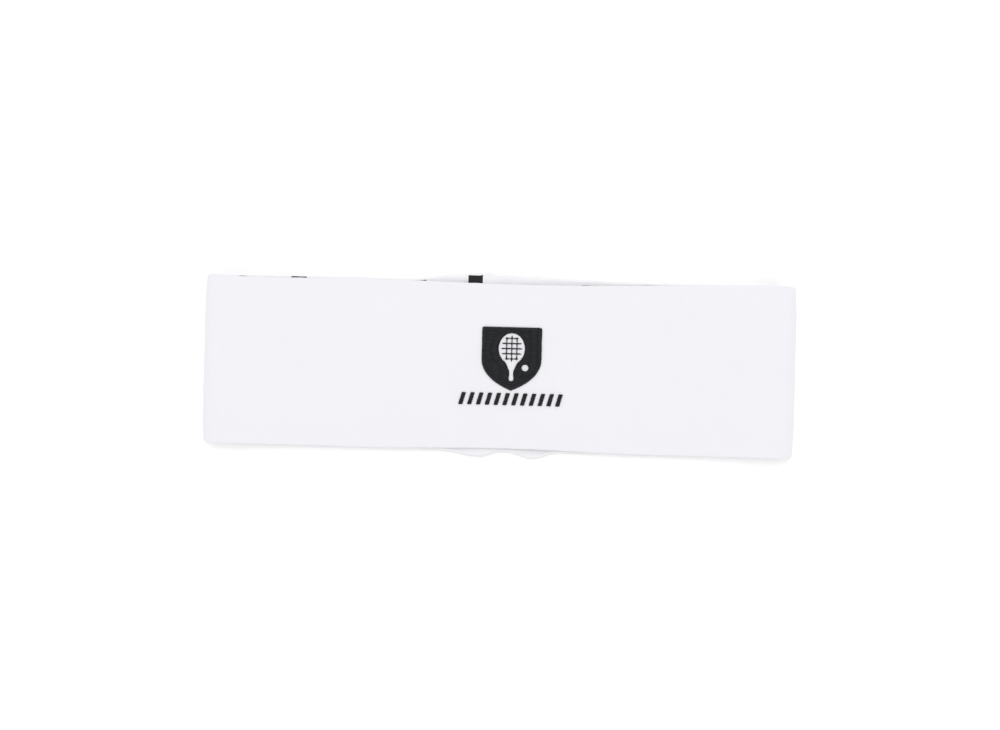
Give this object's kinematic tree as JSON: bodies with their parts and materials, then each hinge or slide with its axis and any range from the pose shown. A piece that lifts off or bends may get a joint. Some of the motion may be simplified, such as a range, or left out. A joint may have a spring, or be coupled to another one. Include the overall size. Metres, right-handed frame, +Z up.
{
  "type": "sports headband",
  "caption": "Wide jersey sports headband: a lined loop with turned edges, gathered centre back and an embroidered front, lying flat and able to open.",
  "frame": {"origin": "on the surface that the band lies on, under the middle of the front panel", "axes": "+X along the band, +Y across its height towards the crest's top, +Z up out of the decorated front"},
  "size_m": [0.2426, 0.075, 0.0108],
  "materials": {
    "shell_jersey": "matte",
    "lining_jersey": "matte",
    "seam_allowance": "matte",
    "woven_elastic": "matte",
    "white_thread": "satin",
    "backing_felt": "matte",
    "black_thread": "satin"
  },
  "bodies": {
    "rear": {"rear_shell_left": "shell_jersey", "rear_shell_right": "shell_jersey", "rear_lining_left": "lining_jersey", "rear_lining_right": "lining_jersey", "rear_top_seam_left": "seam_allowance", "rear_top_seam_right": "seam_allowance", "rear_bottom_seam_left": "seam_allowance", "rear_bottom_seam_right": "seam_allowance", "back_seam_shell": "shell_jersey", "back_seam_lining": "lining_jersey", "rear_elastic": "woven_elastic", "elastic_stitching_left": "white_thread", "elastic_stitching_right": "white_thread", "left_fold_shell": "shell_jersey", "right_fold_shell": "shell_jersey", "left_fold_lining": "lining_jersey", "right_fold_lining": "lining_jersey", "left_fold_top_seam": "seam_allowance", "left_fold_bottom_seam": "seam_allowance", "right_fold_top_seam": "seam_allowance", "right_fold_bottom_seam": "seam_allowance"},
    "front": {"front_shell": "shell_jersey", "front_lining": "lining_jersey", "front_top_seam": "seam_allowance", "front_bottom_seam": "seam_allowance", "embroidery_backing": "backing_felt", "crest_border": "black_thread", "crest_field": "black_thread", "racket_strings": "black_thread", "stitched_dash_01": "black_thread", "stitched_dash_02": "black_thread", "stitched_dash_03": "black_thread", "stitched_dash_04": "black_thread", "stitched_dash_05": "black_thread", "stitched_dash_06": "black_thread", "stitched_dash_07": "black_thread", "stitched_dash_08": "black_thread", "stitched_dash_09": "black_thread", "stitched_dash_10": "black_thread", "stitched_dash_11": "black_thread", "stitched_dash_12": "black_thread"}
  },
  "joints": [
    {"name": "loop_open", "type": "slide", "parent": "rear", "child": "front", "axis": [0, 0, 1], "range_m": [0, 0.04], "stiffness_N_per_m": 120, "deforming": ["left_fold_shell", "right_fold_shell", "left_fold_lining", "right_fold_lining", "left_fold_top_seam", "left_fold_bottom_seam", "right_fold_top_seam", "right_fold_bottom_seam"]}
  ]
}
